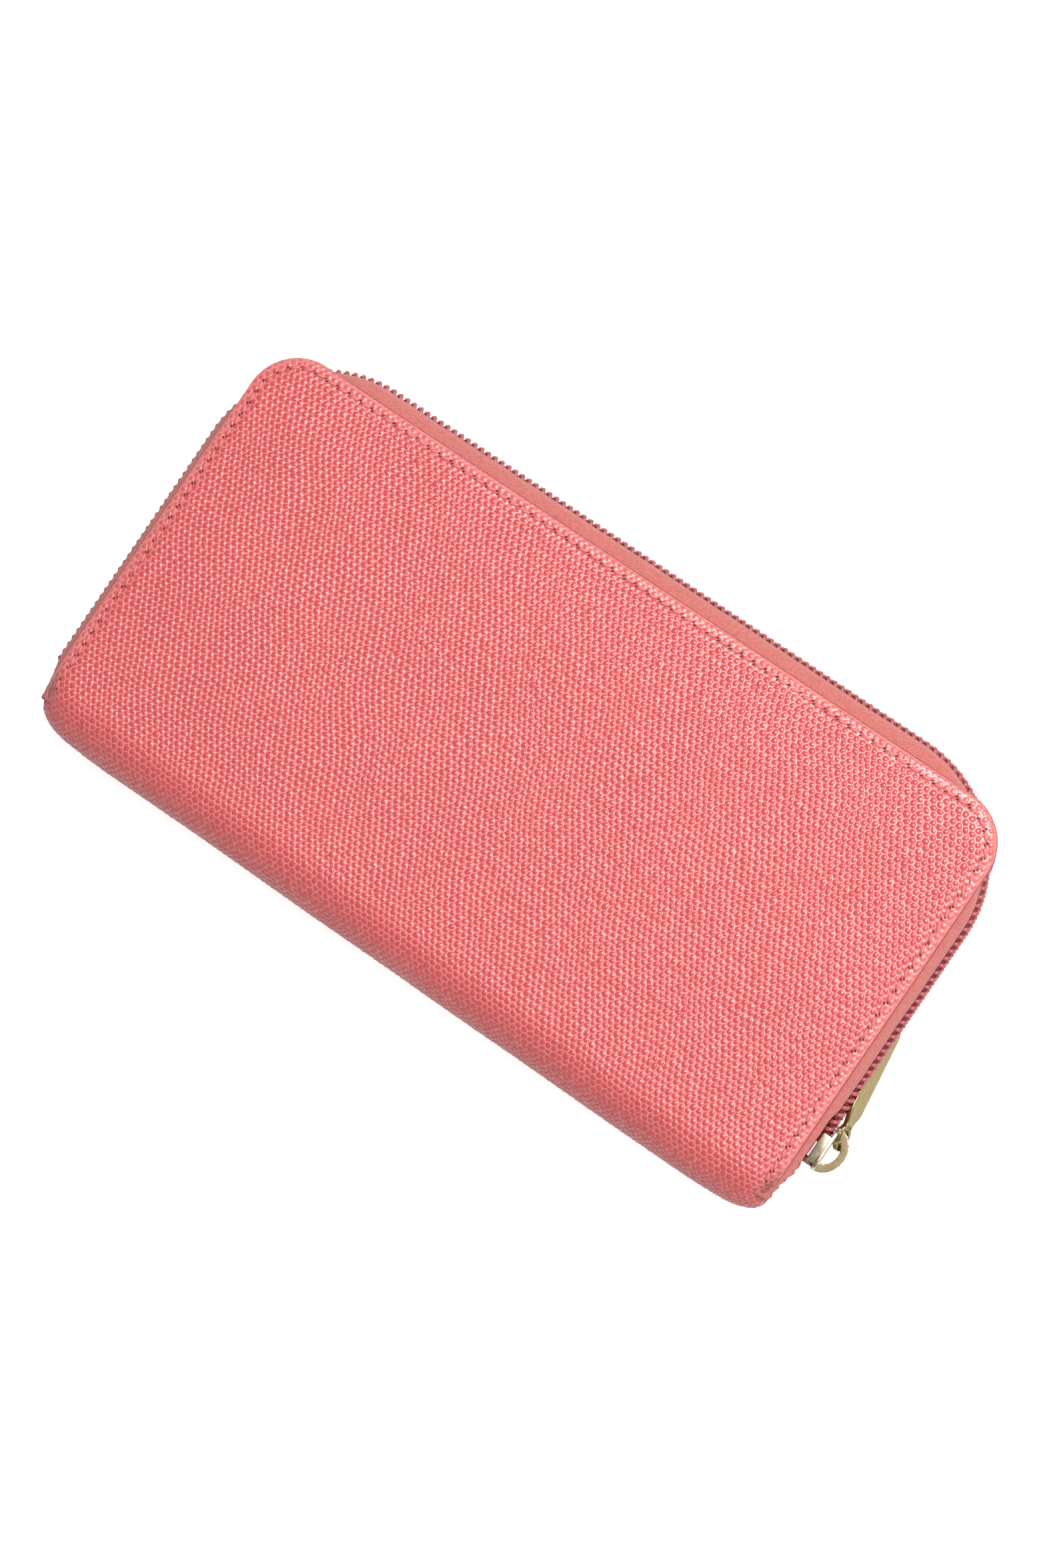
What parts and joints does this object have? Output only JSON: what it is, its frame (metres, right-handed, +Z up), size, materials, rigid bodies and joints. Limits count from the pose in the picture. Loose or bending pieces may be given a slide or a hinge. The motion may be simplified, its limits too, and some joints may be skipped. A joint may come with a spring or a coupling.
{
  "type": "zip around wallet",
  "caption": "Long leather wallet closed by a zip round its open sides, with card pockets on each cover and a zipped coin pocket on the spine",
  "frame": {"origin": "on the resting face of the back cover, under the middle of the wallet", "axes": "+X along the spine towards the end with the slider, +Y from the spine to the zip's long side, +Z up through the thickness"},
  "size_m": [0.2065, 0.107, 0.022],
  "materials": {
    "outer_leather": "coral pink, round pebbled grain, semi-gloss",
    "inner_leather": "smooth coral leather, satin",
    "lining_fabric": "plain woven lining",
    "stiffener": "grey-brown board",
    "zip_tape": "woven polyester tape",
    "zip_coil": "dyed nylon coil",
    "gold_metal": "pale antique gold plate, polished with matte sides"
  },
  "bodies": {
    "back_half": {"back_cover": "outer_leather", "back_board": "stiffener", "back_lining": "lining_fabric", "back_zip_tape": "zip_tape", "back_zip_coil": "zip_coil", "back_card_base": "inner_leather", "back_card_pocket_1": "inner_leather", "back_card_pocket_2": "inner_leather", "back_card_pocket_3": "inner_leather", "back_card_pocket_4": "inner_leather", "back_gusset_left": "lining_fabric", "back_gusset_right": "lining_fabric", "spine_bend_back": "outer_leather"},
    "centre": {"spine_cover": "outer_leather", "spine_lining": "lining_fabric", "leaf_hem": "lining_fabric", "coin_pocket_back_wall": "inner_leather", "coin_pocket_front_wall": "inner_leather", "coin_pocket_band": "inner_leather", "back_coin_zip_tape": "zip_tape", "front_coin_zip_tape": "zip_tape", "back_coin_zip_coil": "zip_coil", "front_coin_zip_coil": "zip_coil"},
    "front_half": {"front_cover": "outer_leather", "front_board": "stiffener", "front_lining": "lining_fabric", "front_zip_tape": "zip_tape", "front_zip_coil": "zip_coil", "front_card_base": "inner_leather", "front_card_pocket_1": "inner_leather", "front_card_pocket_2": "inner_leather", "front_card_pocket_3": "inner_leather", "front_card_pocket_4": "inner_leather", "front_gusset_left": "lining_fabric", "front_gusset_right": "lining_fabric", "spine_bend_front": "outer_leather"},
    "main_slider": {"zip_slider": "gold_metal"},
    "main_puller": {"zip_puller": "gold_metal"},
    "coin_slider": {"coin_zip_slider": "gold_metal"},
    "coin_puller": {"coin_zip_puller": "gold_metal"}
  },
  "joints": [
    {"name": "leaf_fold", "type": "hinge", "parent": "back_half", "child": "centre", "pos_m": [0, -0.04, 0.011], "axis": [1, 0, 0], "range_deg": [0, 40], "deforming": ["spine_bend_back", "back_gusset_left", "back_gusset_right"]},
    {"name": "cover_fold", "type": "hinge", "parent": "centre", "child": "front_half", "pos_m": [0, -0.04, 0.011], "axis": [1, 0, 0], "range_deg": [0, 40], "deforming": ["spine_bend_front", "front_gusset_left", "front_gusset_right", "front_zip_tape", "front_zip_coil"]},
    {"name": "zip_slide", "type": "slide", "parent": "back_half", "child": "main_slider", "axis": [0, 1, 0], "range_m": [0, 0.045]},
    {"name": "puller_swing", "type": "hinge", "parent": "main_slider", "child": "main_puller", "pos_m": [0.10375, -0.0278, 0.011], "axis": [0, 0, -1], "range_deg": [0, 140]},
    {"name": "coin_zip_slide", "type": "slide", "parent": "centre", "child": "coin_slider", "axis": [-1, 0, 0], "range_m": [0, 0.15]},
    {"name": "coin_puller_swing", "type": "hinge", "parent": "coin_slider", "child": "coin_puller", "pos_m": [0.07831, 0.03492, 0.011], "axis": [0, 0, -1], "range_deg": [0, 120]}
  ]
}
